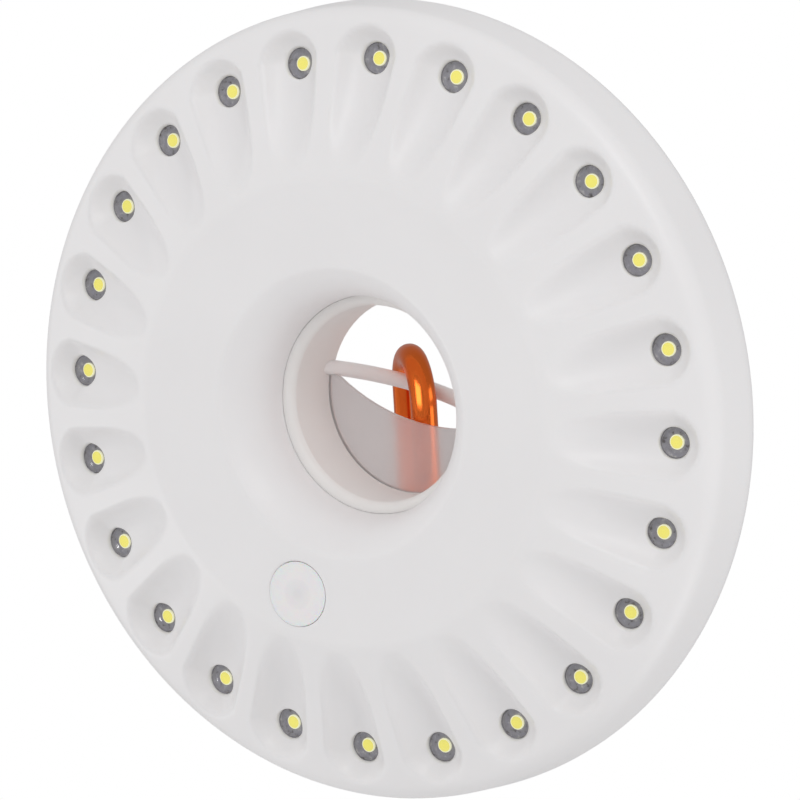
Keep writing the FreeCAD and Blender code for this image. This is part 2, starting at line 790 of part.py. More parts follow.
def led_board():
    body = new_body("led_board")
    sketch = disc_sketch(body, "board_outline", BOARD_BACK)
    draw_circle(sketch, 0, 0, BOARD_INNER)
    draw_circle(sketch, 0, 0, BOARD_OUTER)
    extrude(body, "Pad", "board", sketch, D.board_thickness)
    sketch = disc_sketch(body, "lead_hole_outline", BOARD_BACK - CUT_OVER)
    drop = LED_FLOOR - BOARD_BACK - D.board_thickness / 2
    ring = LED_RING - drop * sine(D.led_tilt) / cosine(D.led_tilt)
    for side in SIDES:
        draw_circle(sketch, ring, side * D.lead_pitch / 2, D.lead_hole / 2)
    holes = extrude(body, "Pocket", "lead_hole", sketch, D.board_thickness + 2 * CUT_OVER, reverse=True)
    spread(body, "lead_holes", [holes], D.led_count)
    return body


def resistors():
    body = new_body("resistors")
    half_step = size_of(180) / D.led_count
    sketch = disc_sketch(body, "resistor_outline", BOARD_BACK, half_step)
    middle = (BOARD_INNER + BOARD_OUTER) / 2
    draw_box(sketch, middle - D.resistor_length / 2, middle + D.resistor_length / 2,
             -D.resistor_width / 2, D.resistor_width / 2)
    chip = extrude(body, "Pad", "chip", sketch, D.resistor_height, reverse=True)
    spread(body, "chips", [chip], D.resistor_count)
    return body


# Button and switch

def button_sketch(body, name):
    """A sketch through the button's axis: x across it, y along the lamp's axis."""
    return new_sketch(body, name, "XY_Plane", (BUTTON_X, ZERO, BUTTON_Z))


def button_cap():
    body = new_body("button_cap")
    sketch = button_sketch(body, "cap_outline")
    draw(sketch, [
        (0, -(D.body_depth - D.button_sink)),
        (D.button_radius, -(D.body_depth - D.button_sink)),
        (D.button_radius, -CAP_BACK),
        (D.button_flange_radius, -CAP_BACK),
        (D.button_flange_radius, -(CAP_BACK - D.button_flange)),
        (D.stem_radius, -(CAP_BACK - D.button_flange)),
        (D.stem_radius, -STEM_END),
        (0, -STEM_END),
    ])
    turn(body, "Revolution", "cap", sketch)
    return body


def switch_plunger():
    body = new_body("switch_plunger")
    sketch = button_sketch(body, "plunger_outline")
    draw_box(sketch, ZERO, D.plunger_radius, -PLUNGER_TIP, -(SWITCH_FRONT - D.plunger_in))
    turn(body, "Revolution", "plunger", sketch)
    return body


def switch_body():
    body = new_body("switch_body")
    sketch = disc_sketch(body, "switch_outline", SWITCH_BACK)
    half = D.switch_width / 2
    draw_box(sketch, BUTTON_X - half, BUTTON_X + half, BUTTON_Z - half, BUTTON_Z + half)
    extrude(body, "Pad", "switch_block", sketch, D.switch_height)
    sketch = disc_sketch(body, "plunger_bore_outline", SWITCH_FRONT + CUT_OVER)
    draw_circle(sketch, BUTTON_X, BUTTON_Z, D.plunger_radius + D.plunger_clearance)
    depth = D.plunger_in + D.button_travel + 2 * D.button_clearance + CUT_OVER
    extrude(body, "Pocket", "plunger_bore", sketch, depth)
    return body


def switch_board():
    body = new_body("switch_board")
    back = SWITCH_BACK - D.panel_thickness
    sketch = disc_sketch(body, "panel_outline", back)
    draw_box(sketch, BUTTON_X - D.panel_half_width, BUTTON_X + D.panel_half_width,
             BUTTON_Z - D.panel_below, BUTTON_Z + D.panel_above)
    extrude(body, "Pad", "panel", sketch, D.panel_thickness)
    sketch = post_sketch(body, "panel_hole_outline", back - CUT_OVER,
                         D.small_screw_radius + 3 * D.screw_clearance)
    extrude(body, "Pocket", "panel_holes", sketch, D.panel_thickness + 2 * CUT_OVER, reverse=True)
    return body


# Screws

def screw_outline(sketch, head_back, head_radius, head, radius, length):
    """Half outline of a screw that points forward: head behind, point in front."""
    under = head_back + head
    draw(sketch, [
        (0, -head_back),
        (0, -(under + length)),
        (radius / 2, -(under + length)),
        (radius, -(under + length - radius)),
        (radius, -under),
        (head_radius, -under),
        (head_radius, -head_back),
    ])


def cover_screws():
    body = new_body("cover_screws")
    shift = (D.screw_ring * cosine(D.screw_angle), ZERO, D.screw_ring * sine(D.screw_angle))
    sketch = new_sketch(body, "cover_screw_outline", "XY_Plane", shift)
    screw_outline(sketch, D.screw_sink, D.screw_head_radius, D.screw_head, D.screw_radius, D.screw_length)
    screw = turn(body, "Revolution", "cover_screw", sketch)
    spread(body, "cover_screw_ring", [screw], D.screw_count)
    return body


def board_screws():
    body = new_body("board_screws")
    head_back = SWITCH_BACK - D.panel_thickness - D.small_head
    for side, word in zip(SIDES, ("left", "right")):
        shift = (BUTTON_X + side * D.panel_post_reach, ZERO, POST_Z)
        sketch = new_sketch(body, word + "_screw_outline", "XY_Plane", shift)
        screw_outline(sketch, head_back, D.small_head_radius, D.small_head, D.small_screw_radius,
                      D.small_screw_length)
        turn(body, "Revolution", word + "_screw", sketch)
    return body


# Batteries, contacts and doors

def battery_cell(label, x, up):
    """One cell along Z, its nub against a contact plate."""
    body = new_body(label)
    sketch = new_sketch(body, label + "_outline", "XZ_Plane")
    shoulder = D.cell_length - D.nub_length
    draw(sketch, [
        (0, 0),
        (D.cell_radius, 0),
        (D.cell_radius, shoulder),
        (D.nub_radius, shoulder),
        (D.nub_radius, D.cell_length),
        (0, D.cell_length),
    ])
    turn(body, "Revolution", label + "_can", sketch)
    foot = PLATE_FACE - D.contact_ridge - D.cell_length
    place = Vector(x.value, -CELL_AXIS.value, foot.value if up else -foot.value)
    body.Placement = Placement(place, Rotation() if up else Rotation(Vector(0, 1, 0), 180))
    return body


def contact_plates():
    """Flat plates on the wells' end walls: one for each cell at the top, a shared one below."""
    body = new_body("contact_plates")
    sketch = new_sketch(body, "contact_outline", "XZ_Plane", (ZERO, ZERO, D.contact_top))
    half = D.contact_width / 2
    for side in SIDES:
        for x in CELL_X:
            draw_box(sketch, side * x - half, side * x + half, PLATE_FACE, WELL_HALF)
        ends = sorted((side * CELL_X[0], side * CELL_X[1]), key=lambda place: place.value)
        draw_box(sketch, ends[0] - half, ends[1] + half, -WELL_HALF, -PLATE_FACE)
    extrude(body, "Pad", "contacts", sketch, D.contact_height)
    sketch = new_sketch(body, "ridge_outline", "XZ_Plane", (ZERO, ZERO, D.contact_top))
    half = D.nub_radius / 2
    for side in SIDES:
        for x, end in zip(CELL_X, (1, -1)):
            ends = (end * (PLATE_FACE - D.contact_ridge), end * PLATE_FACE)
            low, high = sorted(ends, key=lambda place: place.value)
            draw_box(sketch, side * x - half, side * x + half, low, high)
    extrude(body, "Pad", "ridges", sketch, D.contact_height)
    return body


def contact_leaf_springs():
    """A bent leaf at each cell's flat end."""
    body = new_body("contact_leaf_springs")
    sketch = new_sketch(body, "leaf_outline", "XZ_Plane", (ZERO, ZERO, D.contact_top))
    crest = D.spring_room - D.seam
    thick = D.leaf_thickness
    foot = D.leaf_foot
    shape = [
        (-foot, ZERO), (-foot + 3 * thick, ZERO), (foot / 2, crest - thick), (foot, crest - 3 * thick),
        (foot, crest - 2 * thick), (foot / 2, crest), (-foot, thick),
    ]
    for side in SIDES:
        for x, end in zip(CELL_X, (-1, 1)):
            leaf = [(side * x + u, end * (PLATE_FACE - v)) for u, v in shape]
            draw(sketch, leaf)
    extrude(body, "Pad", "leaves", sketch, D.contact_height)
    return body


def battery_door(label, side):
    """A flush door with grip lines, and two tongues that hook under the back wall at its top."""
    body = new_body(label)
    half_width = (DOOR_END - DOOR_START) / 2
    sketch = disc_sketch(body, label + "_outline", ZERO)
    draw_box(sketch, -half_width, half_width, -DOOR_HALF, DOOR_HALF)
    extrude(body, "Pad", label + "_plate", sketch, D.door_thickness)

    top = D.back_wall + D.door_clearance
    start = WELL_HALF - D.tongue_clearance - D.tongue_root
    half = D.tongue_width / 2
    spots = [step * D.tongue_spread for step in SIDES]
    sketch = disc_sketch(body, label + "_root_outline", D.door_thickness)
    for middle in spots:
        draw_box(sketch, middle - half, middle + half, start, start + D.tongue_root)
    extrude(body, "Pad", label + "_roots", sketch, top + D.tongue_thickness - D.door_thickness)
    sketch = disc_sketch(body, label + "_tongue_outline", top)
    for middle in spots:
        draw_box(sketch, middle - half, middle + half, start, DOOR_AXIS_Z + D.tongue_reach)
    extrude(body, "Pad", label + "_tongues", sketch, D.tongue_thickness)

    sketch = disc_sketch(body, label + "_grip_outline", D.grip_depth)
    low = -DOOR_HALF + D.notch_radius + D.grip_pitch
    for line in range(3):
        z = low + line * D.grip_pitch
        draw_box(sketch, -D.grip_length / 2, D.grip_length / 2, z, z + D.grip_width)
    extrude(body, "Pocket", label + "_grip", sketch, D.grip_depth + CUT_OVER)
    body.Placement = Placement(Vector(side * WELL_MIDDLE.value, 0, 0), Rotation())
    body.setExpression("Placement.Base.x", (side * WELL_MIDDLE).formula)
    return body


# Wires

def wire(label, plane, depth, corners):
    """A wire along a flat path; the path starts along the plane's second axis."""
    body = new_body(label)
    path = new_sketch(body, label + "_path", plane, (ZERO, ZERO, depth))
    draw(path, corners, closed=False)
    x, z = (size_of(value) for value in corners[0][:2])
    if plane == "XZ_Plane":
        shift = (x, -depth, z)
    else:
        shift = (depth, x, z)
    section = new_sketch(body, label + "_section", "XY_Plane", shift)
    draw_circle(section, 0, 0, D.wire_radius)
    doc.recompute()
    pipe = feature(body, "AdditivePipe", label + "_core", section)
    pipe.Spine = (path, [f"Edge{number}" for number in range(1, len(corners))])
    pipe.Transition = "Right corner"
    return body


def wires():
    """Left well to switch, switch to lamps, lamps to right well, and the link between the wells."""
    bend = D.wire_bend
    low = -WIRE_BEND_Z
    to_switch = wire("wire_red", "XZ_Plane", SWITCH_WIRE, [
        (-WIRE_X, -WIRE_START),
        (-WIRE_X, low, bend),
        (bend - WIRE_X, low - bend),
        (BUTTON_X - D.panel_post_reach, low - bend),
    ])
    ring = BOARD_INNER + D.wire_bend / 2
    x = ring * cosine(-QUARTER_TURN - D.wire_pair)
    z = ring * sine(-QUARTER_TURN - D.wire_pair)
    start = BUTTON_Z - D.switch_width / 2
    to_lamps = wire("wire_yellow", "YZ_Plane", x, [
        (-SWITCH_WIRE, start),
        (-SWITCH_WIRE, start - D.panel_below),
        (-LAMP_WIRE, start - 2 * D.panel_below),
        (-LAMP_WIRE, z),
    ])
    end = -root(ring * ring - WIRE_X * WIRE_X)
    from_lamps = wire("wire_black", "XZ_Plane", LAMP_WIRE, [
        (WIRE_X, -WIRE_START),
        (WIRE_X, end),
    ])
    link = wire("wire_link", "XZ_Plane", SWITCH_WIRE, [
        (-WIRE_X, WIRE_START),
        (-WIRE_X, WIRE_BEND_Z, -bend),
        (bend - WIRE_X, WIRE_BEND_Z + bend),
        (WIRE_X - bend, WIRE_BEND_Z + bend, -bend),
        (WIRE_X, WIRE_BEND_Z),
        (WIRE_X, WIRE_START),
    ])
    return [to_switch, to_lamps, from_lamps, link]


# Snap hook

def bar_point():
    """Centre of the bar under the hook, and the bar's direction there."""
    rise = D.bar_apex.value + D.bar_root.value
    curve = (D.bar_reach.value ** 2 + rise ** 2) / (2 * rise)
    lean = math.asin(D.hook_along.value / curve)
    flat = Vector(curve * math.sin(lean), D.bar_apex.value - curve * (1 - math.cos(lean)), D.bar_height.value)
    along = Vector(math.cos(lean), -math.sin(lean), 0)
    turned = Rotation(Vector(0, -1, 0), D.back_turn.value)
    return turned.multVec(flat), turned.multVec(along)


def hook_placement():
    """The hook as it hangs: twisted about the vertical, leaning back on the bar."""
    point, along = bar_point()
    lean = Rotation(along, D.hook_tilt.value)
    twist = Rotation(Vector(0, 0, 1), D.hook_twist.value)
    return Placement(point, lean.multiply(twist))


HOOK_TOP = -D.hook_hang
HOOK_BASE = HOOK_TOP - D.hook_leg
GATE_NOSE = HOOK_TOP - D.gate_top
GATE_PIN = HOOK_BASE + D.gate_bottom
GATE_SHOULDER = GATE_PIN - D.gate_radius - D.gate_gap


def hook_body():
    """A bent rod: nose, upper bow, long leg, lower bow and the hinge tongue."""
    body = new_body("hook_body")
    bow = D.hook_bow
    path = new_sketch(body, "hook_path", "XZ_Plane")
    draw(path, [
        (-bow, GATE_NOSE),
        (-bow, HOOK_TOP, -bow),
        (0, HOOK_TOP + bow, -bow),
        (bow, HOOK_TOP),
        (bow, HOOK_BASE, -bow),
        (0, HOOK_BASE - bow, -bow),
        (-bow, HOOK_BASE),
        (-bow, GATE_SHOULDER),
    ], closed=False)
    section = new_sketch(body, "hook_section", "XY_Plane", (-bow, ZERO, GATE_NOSE))
    draw_circle(section, 0, 0, D.hook_rod)
    doc.recompute()
    rod = feature(body, "AdditivePipe", "hook_rod", section)
    rod.Spine = (path, [f"Edge{number}" for number in range(1, 8)])
    doc.recompute()

    width = D.gate_tongue
    sketch = new_sketch(body, "tongue_outline", "XZ_Plane")
    ear = D.gate_radius - D.gate_gap
    draw(sketch, [
        (-bow - ear, GATE_SHOULDER - CUT_OVER),
        (-bow + ear, GATE_SHOULDER - CUT_OVER),
        (-bow + ear, GATE_PIN, ear),
        (-bow, GATE_PIN + ear, ear),
        (-bow - ear, GATE_PIN),
    ])
    extrude(body, "Pad", "tongue", sketch, width, both=True)
    sketch = new_sketch(body, "tongue_hole_outline", "XZ_Plane")
    draw_circle(sketch, -bow, GATE_PIN, D.gate_pin_radius + D.gate_pin_fit)
    extrude(body, "Pocket", "tongue_hole", sketch, 4 * D.hook_rod, both=True)
    body.Placement = hook_placement()
    return body


def gate_placement():
    return hook_placement().multiply(Placement(Vector(-D.hook_bow.value, 0, GATE_PIN.value), Rotation()))


def hook_gate():
    """The sprung gate: a rod forked round the hinge tongue, rounded at the hinge."""
    body = new_body("hook_gate")
    top = GATE_NOSE - D.gate_gap - GATE_PIN
    radius = D.gate_radius
    sketch = new_sketch(body, "gate_outline", "XZ_Plane")
    draw(sketch, [
        (0, -radius, radius),
        (radius, 0),
        (radius, top - D.gate_gap),
        (radius - D.gate_gap, top),
        (0, top),
    ])
    turn(body, "Revolution", "gate_rod", sketch)
    sketch = new_sketch(body, "fork_outline", "XZ_Plane")
    slot_top = radius + D.gate_gap
    draw_box(sketch, -2 * radius, 2 * radius, -2 * radius, slot_top)
    extrude(body, "Pocket", "fork", sketch, D.gate_slot, both=True)
    sketch = new_sketch(body, "gate_pin_hole_outline", "XZ_Plane")
    draw_circle(sketch, 0, 0, D.gate_pin_radius + D.gate_pin_fit)
    extrude(body, "Pocket", "gate_pin_hole", sketch, 4 * radius, both=True)
    sketch = new_sketch(body, "spring_bore_outline", "XZ_Plane")
    draw_box(sketch, ZERO, D.gate_bore, slot_top - CUT_OVER, slot_top + D.gate_spring_length)
    turn(body, "Groove", "spring_bore", sketch)
    body.Placement = gate_placement()
    return body


def gate_pin():
    body = new_body("gate_pin")
    sketch = new_sketch(body, "pin_outline", "XZ_Plane")
    draw_circle(sketch, 0, 0, D.gate_pin_radius)
    extrude(body, "Pad", "pin", sketch, 2 * (D.gate_radius - D.gate_gap), both=True)
    body.Placement = gate_placement()
    return body


def gate_spring():
    """The coil inside the gate's bore, as the cylinder that it fills."""
    body = new_body("gate_spring")
    sketch = new_sketch(body, "spring_outline", "XZ_Plane")
    start = D.gate_radius + D.gate_gap
    draw_box(sketch, ZERO, D.gate_bore - D.gate_spring_fit, start,
             start + D.gate_spring_length - D.gate_spring_fit)
    turn(body, "Revolution", "spring", sketch)
    body.Placement = gate_placement()
    return body


def build():
    parts = [
        front_cover(), back_cover(), hanger_bar(),
        led_lenses(), led_dies(), led_leads(), led_board(), resistors(),
        button_cap(), switch_plunger(), switch_body(), switch_board(),
        cover_screws(), board_screws(),
    ]
    number = 1
    for side in SIDES:
        for x, up in zip(CELL_X, (True, False)):
            parts.append(battery_cell(f"battery_cell_{number}", side * x, up))
            number += 1
    parts += [contact_plates(), contact_leaf_springs()]
    for side, word in zip(SIDES, ("left", "right")):
        parts.append(battery_door(f"battery_door_{word}", side))
    parts += wires()
    parts += [hook_body(), hook_gate(), gate_pin(), gate_spring()]
    doc.recompute()
    return parts


def check_and_write(parts):
    for thing in doc.Objects:
        if "Invalid" in thing.State or "Error" in thing.State:
            raise RuntimeError(f"{thing.Name} failed: {thing.State}")
    for part in parts:
        if part.Shape.isNull() or not part.Shape.isValid() or not part.Shape.Solids:
            raise RuntimeError(f"{part.Label} has no sound solid")
    os.makedirs("parts", exist_ok=True)
    for part in parts:
        part.Shape.exportStep(f"parts/{part.Label}.step")
        print(f"{part.Label}: {len(part.Shape.Solids)} solids, {part.Shape.Volume:.1f} mm3")


check_and_write(build())
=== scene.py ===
# %% [markdown]
# # A hanging camping light
# The part is already built in CAD: this lesson gives it its looks. Every CAD
# node arrives in metres, in its own place, and most of them only need a finish.
# The front cover and the lamps are made again here: the cover's finger grooves
# melt into the face with soft edges, where solids cut with a plain tool have
# hard ones, and a lamp's body behind its clear dome carries painted shade.

# %% Load the CAD frame
import math

import bmesh
import bpy
import numpy as np
from mathutils import Matrix, Vector


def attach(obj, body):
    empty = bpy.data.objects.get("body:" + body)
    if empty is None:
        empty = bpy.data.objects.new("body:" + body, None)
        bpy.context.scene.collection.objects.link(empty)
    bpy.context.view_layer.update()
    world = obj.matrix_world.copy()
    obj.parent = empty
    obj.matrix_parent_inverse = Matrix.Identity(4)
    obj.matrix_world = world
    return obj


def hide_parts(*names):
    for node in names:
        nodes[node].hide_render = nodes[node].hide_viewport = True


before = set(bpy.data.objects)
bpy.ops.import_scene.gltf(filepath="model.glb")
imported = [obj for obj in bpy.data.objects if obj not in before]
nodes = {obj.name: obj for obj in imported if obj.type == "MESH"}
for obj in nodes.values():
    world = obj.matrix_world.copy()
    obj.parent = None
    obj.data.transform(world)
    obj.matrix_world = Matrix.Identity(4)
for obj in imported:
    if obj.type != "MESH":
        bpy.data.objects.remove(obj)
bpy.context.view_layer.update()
MM = 0.001
FULL_TURN = 2 * math.pi
print("CAD nodes:", len(nodes))

# %% [markdown]
# ## A workshop for meshes
# A piece made here is a grid of points that numpy works out. The grid goes into
# a mesh at the world's origin, with its place in its points, and the piece rides
# on a body of the CAD model, so that it moves when the joint moves. Grids that
# share an edge are merged there, and then all faces are turned outward.


# %% Helpers for pieces
MERGE_REACH = 0.002


def grid_faces(rows, columns, wrap):
    """Quads of a grid whose point (i, j) has the number i * columns + j."""
    i = np.arange(rows - 1)[:, None]
    j = np.arange(columns if wrap else columns - 1)[None, :]
    k = (j + 1) % columns
    here, above = i * columns, (i + 1) * columns
    quads = np.broadcast_arrays(here + j, here + k, above + k, above + j)
    return np.stack(quads, axis=-1).reshape(-1, 4)


class Sheet:
    """Collects grids of points, in millimetres, that belong to one piece."""

    def __init__(self):
        self.points, self.faces, self.finishes, self.values = [], [], [], []
        self.count = 0

    def add(self, points, faces, finish=0, value=None):
        points = points.reshape(-1, 3)
        faces = [[int(number) + self.count for number in face] for face in faces]
        self.points.append(points)
        self.faces += faces
        self.finishes += [finish] * len(faces)
        self.values.append(np.zeros(len(points)) if value is None else np.ravel(value))
        self.count += len(points)

    def add_grid(self, grid, wrap, finish=0, value=None):
        self.add(grid, grid_faces(grid.shape[0], grid.shape[1], wrap), finish, value)


def make_piece(name, sheet, body, replaced, finishes, toward=None):
    """One mesh of a sheet's grids, riding on a body.

    Toward gives (point, direction) of a face that is known, where the outside has to be told."""
    mesh = bpy.data.meshes.new(name)
    mesh.from_pydata((np.vstack(sheet.points) * MM).tolist(), [], sheet.faces)
    mesh.polygons.foreach_set("material_index", np.array(sheet.finishes, dtype=np.int32))
    reach = mesh.attributes.new("reach", "FLOAT", "POINT")
    reach.data.foreach_set("value", np.concatenate(sheet.values).astype(np.float32))
    work = bmesh.new()
    work.from_mesh(mesh)
    bmesh.ops.remove_doubles(work, verts=work.verts, dist=MERGE_REACH * MM)
    bmesh.ops.recalc_face_normals(work, faces=work.faces)
    if toward:
        place, direction = Vector(toward[0]) * MM, Vector(toward[1])
        known = min(work.faces, key=lambda face: (face.calc_center_median() - place).length)
        if known.normal @ direction < 0:
            bmesh.ops.reverse_faces(work, faces=work.faces)
    work.to_mesh(mesh)
    work.free()
    mesh.polygons.foreach_set("use_smooth", np.ones(len(mesh.polygons), dtype=bool))
    for finish in finishes:
        mesh.materials.append(finish)
    piece = bpy.data.objects.new(name, mesh)
    bpy.context.scene.collection.objects.link(piece)
    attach(piece, body)
    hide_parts(*replaced)
    print(name, len(mesh.vertices), "points,", len(mesh.polygons), "faces")
    return piece


# %% [markdown]
# ## A workshop for finishes
# Each finish starts from one shader. Slow noise on Object coordinates changes
# its colour, and fine noise its roughness and its surface, so that no face has
# one flat tone. What is the same all over is set on the shader's own socket.


# %% Helpers for finishes
NOISE_LOW, NOISE_HIGH = 0.3, 0.7
GRAIN_HEIGHT = 0.00002


def new_finish(name, **values):
    """A material with one Principled shader; the values are set on its own sockets."""
    finish = bpy.data.materials.new(name)
    finish.use_nodes = True
    shader = finish.node_tree.nodes["Principled BSDF"]
    for socket, value in values.items():
        shader.inputs[socket.replace("_", " ")].default_value = value
    return finish, shader


def add(finish, kind, **values):
    """A new node in a finish, with its settings."""
    node = finish.node_tree.nodes.new(kind)
    for name, value in values.items():
        setattr(node, name, value)
    return node


def link(finish, source, target):
    """A line from one socket to another."""
    finish.node_tree.links.new(source, target)


def object_noise(finish, scale, detail=3.0):
    """Noise on Object coordinates, with scale in waves a metre."""
    place = add(finish, "ShaderNodeTexCoord")
    noise = add(finish, "ShaderNodeTexNoise")
    noise.inputs["Scale"].default_value = scale
    noise.inputs["Detail"].default_value = detail
    link(finish, place.outputs["Object"], noise.inputs["Vector"])
    return noise.outputs["Fac"]


def ramp(finish, factor, *stops):
    """Colours along a factor, from stops of (place, colour)."""
    node = add(finish, "ShaderNodeValToRGB")
    elements = node.color_ramp.elements
    while len(elements) < len(stops):
        elements.new(0.5)
    for element, (place, colour) in zip(elements, stops):
        element.position = place
        element.color = (*colour, 1.0)
    link(finish, factor, node.inputs["Fac"])
    return node.outputs["Color"]


def span(finish, factor, start, end, low, high):
    """A number that goes from low to high while the factor goes from start to end."""
    node = add(finish, "ShaderNodeMapRange")
    settings = {"From Min": start, "From Max": end, "To Min": low, "To Max": high}
    for socket, value in settings.items():
        node.inputs[socket].default_value = value
    link(finish, factor, node.inputs["Value"])
    return node.outputs["Result"]


def lift(finish, shader, height, strength, distance):
    """Bump from a height, with its distance in metres."""
    node = add(finish, "ShaderNodeBump")
    node.inputs["Strength"].default_value = strength
    node.inputs["Distance"].default_value = distance
    link(finish, height, node.inputs["Height"])
    link(finish, node.outputs["Normal"], shader.inputs["Normal"])


def grained(finish, shader, rough, grain=2500.0, bump=0.15):
    """Fine noise that moves the roughness within a range, and the surface."""
    fine = object_noise(finish, grain)
    roughness = span(finish, fine, NOISE_LOW, NOISE_HIGH, *rough)
    link(finish, roughness, shader.inputs["Roughness"])
    if bump:
        lift(finish, shader, fine, bump, GRAIN_HEIGHT)


def blotched(name, low, high, rough, blotch=60.0, grain=2500.0, bump=0.15, **values):
    """A finish with slow blotches between two colours, a range of roughness and a fine grain."""
    finish, shader = new_finish(name, **values)
    slow = object_noise(finish, blotch)
    tone = ramp(finish, slow, (NOISE_LOW, low), (NOISE_HIGH, high))
    link(finish, tone, shader.inputs["Base Color"])
    grained(finish, shader, rough, grain, bump)
    return finish, shader


def off_axis(finish, middle=(0.0, 0.0), axis="Y"):
    """Distance from an axis along Y through the point (x, z), or from the Z axis."""
    place = add(finish, "ShaderNodeTexCoord")
    mapping = add(finish, "ShaderNodeMapping")
    mapping.inputs["Location"].default_value = (-middle[0], 0.0, -middle[1])
    mapping.inputs["Scale"].default_value = (1.0, 0.0, 1.0) if axis == "Y" else (1.0, 1.0, 0.0)
    length = add(finish, "ShaderNodeVectorMath", operation="LENGTH")
    link(finish, place.outputs["Object"], mapping.inputs["Vector"])
    link(finish, mapping.outputs["Vector"], length.inputs[0])
    return length.outputs["Value"]


def dress(finish, *names):
    """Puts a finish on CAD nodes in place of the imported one."""
    for name in names:
        for entry in nodes[name].material_slots:
            entry.material = finish
    print(finish.name, "on", ", ".join(names))


# %% [markdown]
# ## White plastic
# The mouldings are satin white. A little light goes into the wall and comes out
# beside, which softens the grooves' shadows, so the shader has some subsurface.


# %% The white of the covers
def white_plastic(name, low, high):
    """Satin white between two tones, with a little light inside the wall."""
    finish, shader = blotched(
        name, low, high, (0.38, 0.48), blotch=45.0, grain=4200.0, bump=0.07,
        IOR=1.49, Subsurface_Weight=0.15, Subsurface_Scale=0.0012)
    shader.inputs["Subsurface Radius"].default_value = (1.0, 0.92, 0.88)
    return finish, shader


cover_white, _ = white_plastic("cover_white", (0.882, 0.866, 0.872), (0.902, 0.887, 0.893))
print(cover_white.name)

# %% [markdown]
# ## The front cover
# On the real lamp this is one moulding: a trumpet round the centre hole, a flat
# ring, a sloping ring with a finger groove for each lamp, and a round shoulder.
# Here the face is a function of angle and radius. A groove is a row of round cuts
# that grow from its tip to its lamp, where the CAD part has one turned cutter,
# and a soft maximum joins it to the slope, which rounds the groove's lip as a
# mould does. A displaced plane would do it too, but with ragged lamp holes.

# %% Sizes of the cover, in millimetres
LAMPS = 24
LAMP_RING, LAMP_FLOOR, LAMP_TILT = 54.7, -12.78, math.radians(7.0)
LAMP_HOLE, LAMP_HOLE_FLOOR, LAMP_MARGIN = 2.48, -2.9, 0.2
GROOVE_TIP, GROOVE_END, GROOVE_SOFT = 38.2, 55.5, 0.55
GROOVE_DEPTH, GROOVE_LEVELLING = 8.34, 0.557
CUT_RADIUS, CUT_GROWTH = 4.55, 1.2
NO_GROOVE = -99.0
FACE = -22.2
BUTTON_RING, BUTTON_ANGLE = 30.4, math.radians(-103.9)
BUTTON_HOLE, BUTTON_HOLE_FLOOR, BUTTON_MARGIN = 5.2, -1.3, 0.25
HOLE_LIP = ((0.16, 0.05), (0.03, 0.18))
COVER_WALL = 1.3

# %% Steps of the cover's grids: spokes, rings and the cells left out round the holes
COARSE_STEPS = 192
FINE_STEPS = 3 * COARSE_STEPS
FUNNEL_STOP, BUTTON_STOP = 24.6, 36.2
SLOPE_START, SLOPE_STOP, EDGE_START = 36.6, 60.6, 61.0
BUTTON_ROWS, SLOPE_ROWS = 8, 48
BUTTON_SPOKES = np.arange(129, 145)
LAMP_ROWS, LAMP_COLUMNS = np.arange(29, 44), np.arange(-6, 7)
BUTTON_LAYERS, LAMP_LAYERS, LAYER_GROWTH = 4, 3, 1.35
print("cover grid:", COARSE_STEPS, "spokes inside,", FINE_STEPS, "on the slope")


# %% Outline of the cover
def rounded_line(corners, step):
    """Polyline through corners (radius, depth, rounding).

    Each corner becomes an arc that touches both its sides."""
    corners = np.array(corners, dtype=float)
    line = [corners[:1, :2]]
    for before, corner, after in zip(corners[:-2], corners[1:-1], corners[2:]):
        into, out = before[:2] - corner[:2], after[:2] - corner[:2]
        into, out = into / np.linalg.norm(into), out / np.linalg.norm(out)
        half = math.acos(np.clip(into @ out, -1.0, 1.0)) / 2
        reach = corner[2] / math.tan(half)
        middle = (into + out) / np.linalg.norm(into + out)
        centre = corner[:2] + middle * corner[2] / math.sin(half)
        first = corner[:2] + into * reach - centre
        last = corner[:2] + out * reach - centre
        sweep = math.pi - 2 * half
        part = np.linspace(0, 1, max(int(corner[2] * sweep / step), 3) + 1)[:, None]
        arc = (np.sin((1 - part) * sweep) * first + np.sin(part * sweep) * last) / math.sin(sweep)
        line.append(centre + arc)
    line.append(corners[-1:, :2])
    return np.vstack(line)


COVER_OUTLINE = rounded_line([
    (17.33, -10.4, 0.0),
    (17.33, -18.38, 11.6),
    (22.83, FACE, 1.5),
    (36.9, FACE, 3.0),
    (62.6, -14.0, 3.6),
    (63.2, -5.0, 5.0),
    (63.2, -3.33, 3.0),
    (62.2, -2.05, 0.0),
], step=0.6)
FACE_INNER, FACE_LOWEST = 22.9, -11.5
on_front = (COVER_OUTLINE[:, 0] > FACE_INNER) & (COVER_OUTLINE[:, 1] < FACE_LOWEST)
FACE_LINE = COVER_OUTLINE[on_front]
print("cover outline:", len(COVER_OUTLINE), "points")


# %% The grooved face
def plain_depth(radius):
    """Depth of the cover without its grooves."""
    return np.interp(radius, FACE_LINE[:, 0], FACE_LINE[:, 1])


